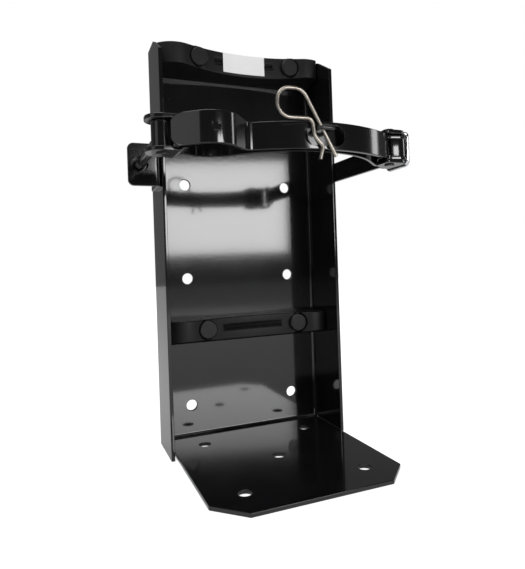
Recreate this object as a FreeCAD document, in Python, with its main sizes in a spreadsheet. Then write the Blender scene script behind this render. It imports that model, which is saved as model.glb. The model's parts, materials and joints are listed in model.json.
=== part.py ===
import FreeCAD, Part
import math
import os

# Heavy-duty fire extinguisher bracket.
# Frame: +Z up, +Y into the wall, +X to the right as seen from the front.
# Origin: middle of the web's back face, at the height of the foot's underside.

os.makedirs("parts", exist_ok=True)
doc = FreeCAD.newDocument("extinguisher_bracket")
Vector = FreeCAD.Vector
UP = Vector(0, 0, 1)
BACK = Vector(0, 1, 0)
RIGHT = Vector(1, 0, 0)

SIZES = {
    # back channel and its folded foot
    "channel_width": 140.0,
    "sheet_thickness": 2.7,
    "channel_height": 306.0,
    "flange_reach": 43.0,
    "bend_radius": 2.5,
    "flange_corner_depth": 20.2,
    "flange_corner_height": 12.1,
    "foot_width": 131.0,
    "foot_reach": 144.9,
    "foot_corner": 18.6,
    "relief_gap": 0.8,
    "relief_height": 8.0,
    "bolt_hole": 8.7,
    "web_hole_spacing": 88.0,
    "web_hole_top": 203.1,
    "web_hole_middle": 127.7,
    "web_hole_low": 26.0,
    "foot_hole_spacing": 83.0,
    "foot_hole_back": 29.7,
    "foot_hole_front": 120.0,
    "foot_hole_centre": 75.0,
    # cylinder that the bracket holds
    "cylinder_side_gap": 6.5,
    "cylinder_offset": 4.7,
    # saddles
    "saddle_end_gap": 0.3,
    "saddle_shoulder_inset": 14.44,
    "saddle_middle_depth": 16.4,
    "saddle_shoulder_radius": 20.0,
    "saddle_shoulder_depth": 26.7,
    "saddle_height": 16.0,
    "saddle_underside_drop": 4.4,
    "upper_saddle_drop": 13.6,
    "lower_saddle_bottom": 80.0,
    "groove_length": 50.0,
    "groove_height": 4.6,
    "groove_depth": 1.4,
    "groove_rib": 1.3,
    "groove_drop": 0.1,
    # bumpers in the saddles
    "bumper_spacing": 77.0,
    "bumper_diameter": 14.5,
    "bumper_rim": 2.4,
    "bumper_bevel": 0.8,
    "bumper_seat_depth": 21.0,
    "bumper_seat_gap": 0.4,
    "bumper_shank": 5.8,
    "bumper_shank_gap": 0.1,
    # blank label
    "label_width": 35.4,
    "label_height": 15.4,
    "label_film": 0.3,
    "label_gap": 0.02,
    # ear bracket
    "clamp_level": 210.0,
    "ear_thickness": 3.0,
    "ear_height": 29.7,
    "ear_reach": 23.3,
    "ear_leg": 28.0,
    "ear_corner": 4.0,
    "ear_hole": 10.5,
    # arm bracket with its rolled eye
    "arm_thickness": 2.7,
    "arm_height": 15.0,
    "arm_weld_length": 32.0,
    "arm_eye_lead": 2.0,
    "arm_eye_gap": 0.1,
    # eye bolt and its hardware
    "eye_bolt_standoff": 15.0,
    "hinge_lead": 48.1,
    "eye_radius": 6.0,
    "eye_height": 14.6,
    "eye_bolt_shank": 6.35,
    "eye_bolt_tail": 7.0,
    "washer_diameter": 16.0,
    "washer_thickness": 1.6,
    "washer_bore": 7.0,
    "nut_flats": 11.1,
    "nut_thickness": 5.6,
    "nut_thread_gap": 0.05,
    # clevis and its pin
    "clevis_plate": 2.4,
    "clevis_side_gap": 0.2,
    "clevis_tail": 9.5,
    "clevis_throat": 8.0,
    "clevis_depth": 19.0,
    "hinge_pin": 6.0,
    "pin_gap": 0.08,
    "pin_head": 9.0,
    "pin_head_height": 1.8,
    # clamp band
    "band_thickness": 2.0,
    "band_height": 16.0,
    "band_wrap_left": 49.4,
    "band_bend_gap": 2.0,
    "band_valley_gap": 2.7,
    "band_valley_lead": 35.3,
    "band_tab_back": 6.5,
    "band_tab_front": 8.5,
    "band_end_lead": 34.1,
    "band_end_gap": 0.8,
    "rivet": 3.0,
    "rivet_head": 5.0,
    "rivet_head_height": 1.4,
    "rivet_spacing": 8.0,
    # lever bracket, lever pin and lever
    "pivot_inset": 8.2,
    "pivot_lead": 17.5,
    "bracket_plate": 2.4,
    "bracket_side_gap": 0.2,
    "bracket_height": 21.2,
    "lever_pin": 5.0,
    "lever_plate": 2.5,
    "lever_height": 15.9,
    "lever_face_shift": 3.3,
    "lever_standoff": 8.2,
    "lever_end_inset": 2.48,
    "lever_end_lead": 3.93,
    "lever_left_reach": 50.8,
    "grip_end_inset": 11.3,
    "grip_end_gap": 3.8,
    "grip_height": 17.4,
    "grip_tip_round": 7.5,
    "grip_hole": 5.0,
    "grip_hole_inset": 2.7,
    "slot_length": 25.5,
    "slot_shift": 0.95,
    "slot_height": 11.4,
    # staple on the band
    "staple_wire": 2.5,
    "staple_span": 9.2,
    "staple_shift": 2.4,
    "staple_stand": 4.2,
    "staple_rise": 3.3,
    "staple_base": 1.6,
    "staple_base_height": 12.0,
    # hairpin clip
    "clip_wire": 2.1,
    "clip_stand": 1.6,
    # bail
    "bail_wire": 3.2,
    "bail_outer_height": 23.0,
    "bail_inset": 1.2,
    "bail_lead": 2.5,
    "bail_corner": 2.3,
    "bail_claw_gap": 0.35,
}

sheet = doc.addObject("Spreadsheet::Sheet", "sizes")
for row, (alias, value) in enumerate(SIZES.items(), start=1):
    sheet.set("A%d" % row, alias)
    sheet.set("B%d" % row, str(value))
    sheet.setAlias("B%d" % row, alias)
doc.recompute()


def size(alias):
    """Value of a named cell."""
    return float(sheet.get(alias))


def bind(item, prop, formula):
    """Tie a property to an expression of named cells."""
    item.setExpression(prop, formula)


def offset_points(points, radii, shift):
    """Moves an open plan path sideways, to the left when shift is positive."""
    lines = []
    for start, end in zip(points[:-1], points[1:]):
        along = (end - start).normalize()
        side = Vector(-along.y, along.x, 0) * shift
        lines.append((start + side, along))
    moved = [lines[0][0]]
    moved_radii = [0]
    for index in range(1, len(lines)):
        base, along = lines[index - 1]
        other, heading = lines[index]
        cross = along.x * heading.y - along.y * heading.x
        gap = other - base
        travel = (gap.x * heading.y - gap.y * heading.x) / cross
        moved.append(base + along * travel)
        turning = 1 if cross > 0 else -1
        moved_radii.append(radii[index] - turning * shift)
    side = Vector(-lines[-1][1].y, lines[-1][1].x, 0) * shift
    moved.append(points[-1] + side)
    moved_radii.append(0)
    return moved, moved_radii


def rounded_edges(points, radii, closed=False):
    """Straight runs joined by tangent arcs through a list of corners."""
    count = len(points)
    joints = []
    for index in range(count):
        if not closed and index in (0, count - 1):
            joints.append((points[index], points[index], None))
            continue
        before = points[index - 1]
        corner = points[index]
        after = points[(index + 1) % count]
        first = (corner - before).normalize()
        second = (after - corner).normalize()
        angle = first.getAngle(second)
        radius = radii[index]
        if radius <= 0 or angle < 1e-6:
            joints.append((corner, corner, None))
            continue
        setback = radius * math.tan(angle / 2)
        start = corner - first * setback
        end = corner + second * setback
        inward = (second - first).normalize()
        middle = corner + inward * (radius / math.cos(angle / 2) - radius)
        joints.append((start, end, middle))
    edges = []
    spans = count if closed else count - 1
    for index in range(count):
        start, end, middle = joints[index]
        if middle is not None:
            edges.append(Part.Arc(start, middle, end).toShape())
        if index < spans:
            following = joints[(index + 1) % count][0]
            if end.distanceToPoint(following) > 1e-6:
                edges.append(Part.LineSegment(end, following).toShape())
    return edges


def face_of(edges):
    return Part.Face(Part.Wire(Part.__sortEdges__(edges)))


def plan_points(pairs):
    return [Vector(place, depth, 0) for place, depth in pairs]


def stand(face, plane, level):
    """Turns a face drawn in X and Y to the plane it belongs in and moves it there."""
    turned = face.copy()
    if plane == "front":
        turned.rotate(Vector(0, 0, 0), RIGHT, 90)
        turned.translate(Vector(0, level, 0))
    elif plane == "side":
        turned.rotate(Vector(0, 0, 0), RIGHT, 90)
        turned.rotate(Vector(0, 0, 0), UP, 90)
        turned.translate(Vector(level, 0, 0))
    else:
        turned.translate(Vector(0, 0, level))
    return turned


def plate_face(pairs, radii):
    return face_of(rounded_edges(plan_points(pairs), radii, closed=True))


def strip_face(pairs, radii, left, right):
    """Section of a bent strip: one path, its two faces offset to the left and right."""
    points = plan_points(pairs)
    one, one_radii = offset_points(points, radii, left)
    two, two_radii = offset_points(points, radii, -right)
    edges = rounded_edges(one, one_radii) + rounded_edges(two, two_radii)
    edges.append(Part.LineSegment(one[0], two[0]).toShape())
    edges.append(Part.LineSegment(one[-1], two[-1]).toShape())
    return face_of(edges)


def wire_rod(points, radii, thickness, closed=False):
    """Round wire bent along straight runs and tangent arcs."""
    path = Part.Wire(Part.__sortEdges__(rounded_edges(points, radii, closed)))
    first = path.OrderedEdges[0]
    start = first.valueAt(first.FirstParameter)
    heading = first.tangentAt(first.FirstParameter)
    ring = Part.Wire(Part.makeCircle(thickness / 2, start, heading))
    rod = path.makePipeShell([ring], True, False)
    section = math.pi * thickness ** 2 / 4
    print("wire length %.1f, volume error %.4f" % (path.Length, rod.Volume / section / path.Length - 1))
    return rod


def keep(name, shape):
    """Puts a finished shape into the document."""
    item = doc.addObject("Part::Feature", name)
    item.Shape = shape
    return item


def cylinder(name, diameter, height, place, axis):
    """Round bar whose two sizes are expressions, from a point along an axis."""
    item = doc.addObject("Part::Cylinder", name)
    bind(item, "Radius", "(%s) / 2" % diameter)
    bind(item, "Height", height)
    item.Placement = FreeCAD.Placement(place, FreeCAD.Rotation(UP, axis))
    return item


def fuse(name, items):
    item = doc.addObject("Part::MultiFuse", name)
    item.Shapes = items
    return item


def cut(name, base, tools):
    item = doc.addObject("Part::Cut", name)
    item.Base = base
    if len(tools) == 1:
        item.Tool = tools[0]
    else:
        item.Tool = fuse(name + "_tools", tools)
    return item


def common(name, first, second):
    item = doc.addObject("Part::Common", name)
    item.Base = first
    item.Tool = second
    return item


def origin_plane(body, role):
    return [item for item in body.Origin.OriginFeatures if item.Role == role][0]


def sketch_on(body, name, role, offset=0.0):
    sketch = body.newObject("Sketcher::SketchObject", name)
    sketch.AttachmentSupport = [(origin_plane(body, role), "")]
    sketch.MapMode = "FlatFace"
    if offset:
        sketch.AttachmentOffset = FreeCAD.Placement(Vector(0, 0, offset), FreeCAD.Rotation())
    return sketch


def draw(sketch, edges):
    for edge in edges:
        curve = edge.Curve
        if isinstance(curve, Part.Line):
            sketch.addGeometry(Part.LineSegment(edge.Vertexes[0].Point, edge.Vertexes[-1].Point), False)
        elif edge.isClosed():
            sketch.addGeometry(Part.Circle(curve.Center, UP, curve.Radius), False)
        else:
            middle = edge.valueAt((edge.FirstParameter + edge.LastParameter) / 2)
            arc = Part.Arc(edge.Vertexes[0].Point, middle, edge.Vertexes[-1].Point)
            sketch.addGeometry(arc, False)


def pad(body, sketch, name, length, symmetric=False):
    item = body.newObject("PartDesign::Pad", name)
    item.Profile = sketch
    item.SideType = "Symmetric" if symmetric else "One side"
    bind(item, "Length", length)
    doc.recompute()
    return item


def pocket(body, sketch, name, length, reversed_way=False, symmetric=False):
    before = body.Shape.Volume
    item = body.newObject("PartDesign::Pocket", name)
    item.Profile = sketch
    item.SideType = "Symmetric" if symmetric else "One side"
    item.Reversed = reversed_way
    bind(item, "Length", length)
    doc.recompute()
    if body.Shape.Volume > before - 0.01:
        raise RuntimeError(name + " removes nothing")
    return item


def turned(name, pairs, round_corner=None):
    """Turned piece: half profile (radius, length) revolved about its own Y axis."""
    body = doc.addObject("PartDesign::Body", name)
    sketch = sketch_on(body, name + "_profile", "XY_Plane")
    radii = round_corner if round_corner else [0] * len(pairs)
    draw(sketch, rounded_edges(plan_points(pairs), radii, closed=True))
    item = body.newObject("PartDesign::Revolution", name + "_turned")
    item.Profile = sketch
    item.ReferenceAxis = (sketch, ["V_Axis"])
    item.Angle = 360.0
    doc.recompute()
    return body


nodes = {}


def finish(item, label):
    """Records a finished sub-part under the name of its node."""
    item.Label = label
    nodes[label] = item


thick = size("sheet_thickness")
half_width = size("channel_width") / 2
web_face = -thick
flange_front = web_face - size("flange_reach")
level = size("clamp_level")
cylinder_radius = half_width - size("cylinder_side_gap")
cylinder_y = -size("saddle_middle_depth") - cylinder_radius
hinge_y = cylinder_y - size("hinge_lead")
bolt_x = -half_width - size("eye_bolt_standoff")
band_end_x = half_width - size("band_end_gap")
end_y = cylinder_y - size("band_end_lead")
pivot = Vector(band_end_x - size("pivot_inset"), end_y - size("pivot_lead"), 0)
lever_front = cylinder_y - cylinder_radius - size("lever_standoff")

# Back channel: web with two flanges, and the foot folded forward between them.
channel = doc.addObject("PartDesign::Body", "back_channel_body")
inner = half_width - thick
section_sketch = sketch_on(channel, "channel_section", "XY_Plane")
outer_bend = size("bend_radius") + thick
channel_points = [
    (-half_width, flange_front),
    (-half_width, 0),
    (half_width, 0),
    (half_width, flange_front),
    (inner, flange_front),
    (inner, web_face),
    (-inner, web_face),
    (-inner, flange_front),
]
channel_radii = [0, outer_bend, outer_bend, 0, 0, size("bend_radius"), size("bend_radius"), 0]
draw(section_sketch, rounded_edges(plan_points(channel_points), channel_radii, closed=True))
pad(channel, section_sketch, "channel_pad", "sizes.channel_height")

foot_half = size("foot_width") / 2
relief_half = foot_half + size("relief_gap")
relief_sketch = sketch_on(channel, "relief_outline", "XZ_Plane")
relief_points = [
    (-relief_half, -5),
    (relief_half, -5),
    (relief_half, size("relief_height")),
    (-relief_half, size("relief_height")),
]
draw(relief_sketch, rounded_edges(plan_points(relief_points), [0, 0, 0, 0], closed=True))
pocket(channel, relief_sketch, "relief_pocket", "4 * sizes.sheet_thickness", symmetric=True)

foot_front = -size("foot_reach")
foot_sketch = sketch_on(channel, "foot_section", "YZ_Plane")
foot_points = [
    (0, size("relief_height")),
    (0, 0),
    (foot_front, 0),
    (foot_front, thick),
    (web_face, thick),
    (web_face, size("relief_height")),
]
foot_radii = [0, outer_bend, 0, 0, size("bend_radius"), 0]
draw(foot_sketch, rounded_edges(plan_points(foot_points), foot_radii, closed=True))
pad(channel, foot_sketch, "foot_pad", "sizes.foot_width", symmetric=True)

corner_sketch = sketch_on(channel, "foot_corners", "XY_Plane")
corner = size("foot_corner")
for side in (-1, 1):
    corner_points = [
        (side * (foot_half + 1), foot_front - 1),
        (side * (foot_half - corner - 1), foot_front - 1),
        (side * (foot_half + 1), foot_front + corner + 1),
    ]
    draw(corner_sketch, rounded_edges(plan_points(corner_points), [0, 0, 0], closed=True))
pocket(channel, corner_sketch, "foot_corner_pocket", "4 * sizes.sheet_thickness", symmetric=True)

flange_sketch = sketch_on(channel, "flange_corners", "YZ_Plane")
top = size("channel_height")
corner_depth = size("flange_corner_depth")
corner_height = size("flange_corner_height")
slope = corner_height / corner_depth
flange_points = [
    (flange_front - 1, top + 1),
    (flange_front + corner_depth + 1 / slope, top + 1),
    (flange_front - 1, top - corner_height - slope),
]
draw(flange_sketch, rounded_edges(plan_points(flange_points), [0, 0, 0], closed=True))
pocket(channel, flange_sketch, "flange_corner_pocket", "sizes.channel_width + 10", symmetric=True)

lower_bottom = size("lower_saddle_bottom")
upper_bottom = size("channel_height") - size("upper_saddle_drop")
lower_level = lower_bottom + size("saddle_height") / 2
upper_level = upper_bottom + size("saddle_height") / 2
bumper_places = [
    size("cylinder_offset") - size("bumper_spacing") / 2,
    size("cylinder_offset") + size("bumper_spacing") / 2,
]
web_sketch = sketch_on(channel, "web_holes", "XZ_Plane")
for height in ("web_hole_top", "web_hole_middle", "web_hole_low"):
    for side in (-0.5, 0.5):
        centre = Vector(side * size("web_hole_spacing"), size(height), 0)
        draw(web_sketch, [Part.makeCircle(size("bolt_hole") / 2, centre)])
shank_hole = size("bumper_shank") / 2 + size("bumper_shank_gap")
for height in (lower_level, upper_level):
    for place in bumper_places:
        draw(web_sketch, [Part.makeCircle(shank_hole, Vector(place, height, 0))])
pocket(channel, web_sketch, "web_hole_pocket", "4 * sizes.sheet_thickness", symmetric=True)

base_sketch = sketch_on(channel, "foot_holes", "XY_Plane")
for depth in ("foot_hole_back", "foot_hole_front"):
    for side in (-0.5, 0.5):
        centre = Vector(side * size("foot_hole_spacing"), -size(depth), 0)
        draw(base_sketch, [Part.makeCircle(size("bolt_hole") / 2, centre)])
draw(base_sketch, [Part.makeCircle(size("bolt_hole") / 2, Vector(0, -size("foot_hole_centre"), 0))])
pocket(channel, base_sketch, "foot_hole_pocket", "4 * sizes.sheet_thickness", symmetric=True)
finish(channel, "back_channel")

# Saddles: moulded bars whose hollow front takes the cylinder.
saddle_middle = size("cylinder_offset")
shoulder_radius = size("saddle_shoulder_radius")
shoulder_y = -size("saddle_shoulder_depth") + shoulder_radius
shoulder_x = half_width - size("saddle_shoulder_inset")
hollow = shoulder_y + size("saddle_middle_depth")
front_radius = (shoulder_x ** 2 + hollow ** 2 - shoulder_radius ** 2) / (2 * (shoulder_radius - hollow))
front_centre = Vector(saddle_middle, -size("saddle_middle_depth") - front_radius, 0)


def saddle_front_edges(end_left, end_right):
    """Front line of a saddle from its left end over both shoulders to its right end."""
    left = Vector(saddle_middle - shoulder_x, shoulder_y, 0)
    right = Vector(saddle_middle + shoulder_x, shoulder_y, 0)
    left_rise = math.sqrt(shoulder_radius ** 2 - (end_left - left.x) ** 2)
    right_rise = math.sqrt(shoulder_radius ** 2 - (end_right - right.x) ** 2)
    left_end = Vector(end_left, shoulder_y - left_rise, 0)
    right_end = Vector(end_right, shoulder_y - right_rise, 0)
    left_join = front_centre + (left - front_centre).normalize() * front_radius
    right_join = front_centre + (right - front_centre).normalize() * front_radius
    bottom = Vector(saddle_middle, front_centre.y + front_radius, 0)
    left_way = (left_end - left).normalize() + (left_join - left).normalize()
    right_way = (right_end - right).normalize() + (right_join - right).normalize()
    left_top = left + left_way.normalize() * shoulder_radius
    right_top = right + right_way.normalize() * shoulder_radius
    return [
        Part.Arc(left_end, left_top, left_join).toShape(),
        Part.Arc(left_join, bottom, right_join).toShape(),
        Part.Arc(right_join, right_top, right_end).toShape(),
    ], left_end, right_end


def front_sector(half_length, near, far):
    """Plan section of a band along the hollow front, between two offsets from it."""
    outer = front_radius + near
    inner_radius = front_radius - far
    angle = math.asin(half_length / front_radius)
    corners = []
    for radius in (outer, inner_radius):
        for sign in (-1, 1):
            corners.append(front_centre + Vector(sign * radius * math.sin(angle), radius * math.cos(angle), 0))
    middle_outer = front_centre + Vector(0, outer, 0)
    middle_inner = front_centre + Vector(0, inner_radius, 0)
    return [
        Part.Arc(corners[0], middle_outer, corners[1]).toShape(),
        Part.LineSegment(corners[1], corners[3]).toShape(),
        Part.Arc(corners[3], middle_inner, corners[2]).toShape(),
        Part.LineSegment(corners[2], corners[0]).toShape(),
    ]


def make_saddle(name, bottom):
    body = doc.addObject("PartDesign::Body", name + "_body")
    drop = size("saddle_underside_drop")
    end = inner - size("saddle_end_gap")
    outline = sketch_on(body, name + "_outline", "XY_Plane", -drop)
    edges, left_end, right_end = saddle_front_edges(-end, end)
    bevel = size("bend_radius")
    back = [
        right_end,
        Vector(end, web_face - bevel, 0),
        Vector(end - bevel, web_face, 0),
        Vector(bevel - end, web_face, 0),
        Vector(-end, web_face - bevel, 0),
        left_end,
    ]
    for start, finish_point in zip(back[:-1], back[1:]):
        edges.append(Part.LineSegment(start, finish_point).toShape())
    draw(outline, edges)
    pad(body, outline, name + "_pad", "sizes.saddle_height + sizes.saddle_underside_drop")
    wedge = sketch_on(body, name + "_underside", "YZ_Plane")
    run = size("saddle_shoulder_depth") + web_face
    far = web_face - 2 * run
    wedge_points = [(web_face, -drop), (far, drop), (far, -3 * drop), (web_face, -3 * drop)]
    draw(wedge, rounded_edges(plan_points(wedge_points), [0, 0, 0, 0], closed=True))
    pocket(body, wedge, name + "_underside_pocket", "2 * sizes.channel_width", symmetric=True)
    half_groove = size("groove_height") / 2
    half_rib = size("groove_rib") / 2
    centre = size("saddle_height") / 2 - size("groove_drop")
    for tag, low in (("upper", half_rib), ("lower", -half_groove)):
        groove = sketch_on(body, name + "_groove_" + tag, "XY_Plane", centre + low)
        draw(groove, front_sector(size("groove_length") / 2, size("groove_depth"), 6.0))
        length = "(sizes.groove_height - sizes.groove_rib) / 2"
        pocket(body, groove, name + "_groove_pocket_" + tag, length, reversed_way=True)
    seat = sketch_on(body, name + "_seats", "XZ_Plane", size("bumper_seat_depth"))
    for place in bumper_places:
        radius = size("bumper_diameter") / 2 + size("bumper_seat_gap")
        draw(seat, [Part.makeCircle(radius, Vector(place, size("saddle_height") / 2, 0))])
    pocket(body, seat, name + "_seat_pocket", "sizes.saddle_shoulder_depth", reversed_way=True)
    shanks = sketch_on(body, name + "_shank_holes", "XZ_Plane")
    for place in bumper_places:
        draw(shanks, [Part.makeCircle(shank_hole, Vector(place, size("saddle_height") / 2, 0))])
    pocket(body, shanks, name + "_shank_pocket", "4 * sizes.saddle_shoulder_depth", symmetric=True)
    body.Placement = FreeCAD.Placement(Vector(0, 0, bottom), FreeCAD.Rotation())
    finish(body, name)


make_saddle("upper_saddle", upper_bottom)
make_saddle("lower_saddle", lower_bottom)

# Bumpers: domed buttons whose shanks pass through saddle and web and end flush behind it.
head = size("bumper_diameter") / 2
shank = size("bumper_shank") / 2
bumper_points = [
    (0, -size("bumper_rim") - size("bumper_bevel")),
    (head - size("bumper_bevel"), -size("bumper_rim") - size("bumper_bevel")),
    (head, -size("bumper_rim")),
    (head, 0),
    (shank, 0),
    (shank, size("bumper_seat_depth")),
    (0, size("bumper_seat_depth")),
]
bumper_radii = [0, 0.4, 0.4, 0, 0, 0, 0]
for name, place, height in (
    ("upper_bumper_left", bumper_places[0], upper_level),
    ("upper_bumper_right", bumper_places[1], upper_level),
    ("lower_bumper_left", bumper_places[0], lower_level),
    ("lower_bumper_right", bumper_places[1], lower_level),
):
    bumper = turned(name + "_body", bumper_points, bumper_radii)
    bumper.Placement = FreeCAD.Placement(Vector(place, -size("bumper_seat_depth"), height), FreeCAD.Rotation())
    finish(bumper, name)

# Blank label on the upper saddle's front.
label_reach = size("label_gap") + size("label_film")
label_face = face_of(front_sector(size("label_width") / 2, -size("label_gap"), label_reach))
label_bottom = upper_level - size("label_height") / 2
label = keep("label_shape", stand(label_face, "plan", label_bottom).extrude(UP * size("label_height")))
finish(label, "saddle_label")

# Ear bracket: angle plate welded to the left flange, holding the eye bolt.
ear_plate = size("ear_thickness")
ear_front = flange_front + ear_plate / 2
ear_leg_x = -half_width - ear_plate / 2
ear_path = [
    (-half_width - size("ear_reach"), ear_front),
    (ear_leg_x, ear_front),
    (ear_leg_x, flange_front + size("ear_leg")),
]
ear_bottom = level - size("ear_height") / 2
ear_face = strip_face(ear_path, [0, ear_plate, 0], ear_plate / 2, ear_plate / 2)
ear_strip = keep("ear_strip", stand(ear_face, "plan", ear_bottom).extrude(UP * size("ear_height")))
ear_top = ear_bottom + size("ear_height")
ear_left = -half_width - size("ear_reach")
ear_outline = plate_face(
    [(ear_left, ear_bottom), (-half_width, ear_bottom), (-half_width, ear_top), (ear_left, ear_top)],
    [size("ear_corner"), 0, 0, size("ear_corner")],
)
ear_block = keep("ear_block", stand(ear_outline, "front", 0).extrude(BACK * 2 * flange_front))
ear_blank = common("ear_blank", ear_strip, ear_block)
ear_hole = cylinder(
    "ear_hole_tool", "sizes.ear_hole", "4 * sizes.ear_thickness",
    Vector(bolt_x, flange_front - ear_plate, level), BACK,
)
finish(cut("ear_bracket_cut", ear_blank, [ear_hole]), "ear_bracket")

# Arm bracket: flat bar welded to the right flange, its end rolled to an eye for the bail.
arm_plate = size("arm_thickness")
arm_bore = size("bail_wire") / 2 + size("arm_eye_gap")
arm_line = half_width + arm_plate / 2
eye_x = half_width + arm_plate + arm_bore
eye_y = end_y + size("arm_eye_lead")
roll = arm_bore + arm_plate / 2
arm_path = [
    (arm_line, flange_front + size("arm_weld_length")),
    (arm_line, eye_y - roll),
    (eye_x + roll, eye_y - roll),
    (eye_x + roll, eye_y + roll),
    (eye_x - roll * 0.15, eye_y + roll),
]
arm_face = strip_face(arm_path, [0, roll, roll, roll, 0], arm_plate / 2, arm_plate / 2)
arm_bottom = level - size("arm_height") / 2
arm = keep("arm_strip", stand(arm_face, "plan", arm_bottom).extrude(UP * size("arm_height")))
finish(arm, "arm_bracket")

# Eye bolt, its washer and nut behind the ear.
ear_back = flange_front + ear_plate
eye_bottom = Vector(bolt_x, hinge_y, level - size("eye_height") / 2)
eye = cylinder("eye_barrel", "2 * sizes.eye_radius", "sizes.eye_height", eye_bottom, UP)
shank_length = ear_back + size("washer_thickness") + size("nut_thickness") + size("eye_bolt_tail") - hinge_y
bolt_shank = doc.addObject("Part::Cylinder", "eye_bolt_bar")
bind(bolt_shank, "Radius", "sizes.eye_bolt_shank / 2")
bolt_shank.Height = shank_length
bolt_shank.Placement = FreeCAD.Placement(Vector(bolt_x, hinge_y, level), FreeCAD.Rotation(UP, BACK))
eye_bore = cylinder(
    "eye_bore_tool", "sizes.hinge_pin + 2 * sizes.pin_gap", "sizes.eye_height + 10",
    eye_bottom - UP * 5, UP,
)
finish(cut("eye_bolt_cut", fuse("eye_bolt_blank", [eye, bolt_shank]), [eye_bore]), "eye_bolt")

washer_place = Vector(bolt_x, ear_back, level)
washer_disc = cylinder("washer_disc", "sizes.washer_diameter", "sizes.washer_thickness", washer_place, BACK)
washer_hole = cylinder(
    "washer_hole", "sizes.washer_bore", "3 * sizes.washer_thickness",
    washer_place - BACK * size("washer_thickness"), BACK,
)
finish(cut("washer_cut", washer_disc, [washer_hole]), "eye_bolt_washer")

nut_place = Vector(bolt_x, ear_back + size("washer_thickness"), level)
nut_block = doc.addObject("Part::Prism", "nut_block")
nut_block.Polygon = 6
bind(nut_block, "Circumradius", "sizes.nut_flats / 2 / cos(30)")
bind(nut_block, "Height", "sizes.nut_thickness")
nut_block.Placement = FreeCAD.Placement(nut_place, FreeCAD.Rotation(UP, BACK))
nut_hole = cylinder(
    "nut_hole", "sizes.eye_bolt_shank + 2 * sizes.nut_thread_gap", "3 * sizes.nut_thickness",
    nut_place - BACK * size("nut_thickness"), BACK,
)
finish(cut("nut_cut", nut_block, [nut_hole]), "eye_bolt_nut")

# Clevis: U of strip with a lug above and below the bolt's eye.
lug = size("clevis_plate")
lug_line = size("eye_height") / 2 + size("clevis_side_gap") + lug / 2
clevis_left = bolt_x - size("clevis_tail")
bridge_line = bolt_x + size("clevis_throat") + lug / 2
clevis_right = bridge_line + lug / 2
clevis_back = hinge_y + size("clevis_depth") / 2
clevis_front = hinge_y - size("clevis_depth") / 2
clevis_path = [
    (clevis_left, level + lug_line),
    (bridge_line, level + lug_line),
    (bridge_line, level - lug_line),
    (clevis_left, level - lug_line),
]
clevis_face = strip_face(clevis_path, [0, 1.1 * lug, 1.1 * lug, 0], lug / 2, lug / 2)
clevis_strip = keep(
    "clevis_strip",
    stand(clevis_face, "front", clevis_back).extrude(-BACK * size("clevis_depth")),
)
clevis_plan = plate_face(
    [
        (clevis_left, clevis_front),
        (clevis_right, clevis_front),
        (clevis_right, clevis_back),
        (clevis_left, clevis_back),
    ],
    [0.46 * size("clevis_depth"), lug / 2, lug / 2, 0.46 * size("clevis_depth")],
)
clevis_reach = 2 * size("eye_height")
clevis_block = keep(
    "clevis_block",
    stand(clevis_plan, "plan", level - clevis_reach).extrude(UP * 2 * clevis_reach),
)
clevis_blank = common("clevis_blank", clevis_strip, clevis_block)
clevis_bore = cylinder(
    "clevis_bore_tool", "sizes.hinge_pin + 2 * sizes.pin_gap", "4 * sizes.eye_height",
    Vector(bolt_x, hinge_y, level - clevis_reach), UP,
)
rivet_levels = [level - size("rivet_spacing") / 2, level + size("rivet_spacing") / 2]
tab_line = clevis_right + size("band_thickness") / 2
tab_back = hinge_y + size("band_tab_back")
tab_front = hinge_y - size("band_tab_front")
tab_rivet_y = (tab_back + tab_front) / 2


def rivet_holes(tag, start, axis):
    tools = []
    for index, height in enumerate(rivet_levels):
        place = Vector(start.x, start.y, height)
        name = "%s_%d" % (tag, index)
        tools.append(cylinder(name, "sizes.rivet + 0.1", "8 * sizes.band_thickness", place, axis))
    return tools


clevis_rivet_start = Vector(clevis_right - 2 * lug, tab_rivet_y, 0)
clevis_tools = [clevis_bore] + rivet_holes("clevis_rivet_hole", clevis_rivet_start, RIGHT)
finish(cut("clevis_cut", clevis_blank, clevis_tools), "band_clevis")


def headed_pin(name, diameter, grip_half, place):
    """Upright pin with a round head on top and a smaller riveted end below."""
    radius = diameter / 2
    top_head = size("pin_head") / 2 * diameter / size("hinge_pin")
    cap = size("pin_head_height") * diameter / size("hinge_pin")
    points = [
        (0, -grip_half - cap * 0.6),
        (top_head * 0.85, -grip_half - cap * 0.6),
        (top_head * 0.85, -grip_half),
        (radius, -grip_half),
        (radius, grip_half),
        (top_head, grip_half),
        (top_head, grip_half + cap),
        (0, grip_half + cap),
    ]
    radii = [0, cap * 0.4, 0, 0, 0, 0, cap * 0.5, 0]
    body = turned(name + "_body", points, radii)
    body.Placement = FreeCAD.Placement(place, FreeCAD.Rotation(BACK, UP))
    finish(body, name)


hinge_place = Vector(bolt_x, hinge_y, level)
headed_pin("clevis_pin", size("hinge_pin"), lug_line + lug / 2 + 0.05, hinge_place)

# Clamp band: one strip, tab on the clevis, round the cylinder's front, flat end on the right.
band_thick = size("band_thickness")
band_radius = cylinder_radius + band_thick / 2
cylinder_centre = Vector(size("cylinder_offset"), cylinder_y, 0)


def polar(centre, radius, degrees):
    angle = math.radians(degrees)
    return centre + Vector(radius * math.cos(angle), radius * math.sin(angle), 0)


def wrap_corner(centre, radius, first, last):
    """Corner of the two tangents that touch a circle at two angles."""
    half = math.radians((last - first) / 2)
    return polar(centre, radius / math.cos(half), (first + last) / 2)


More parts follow.
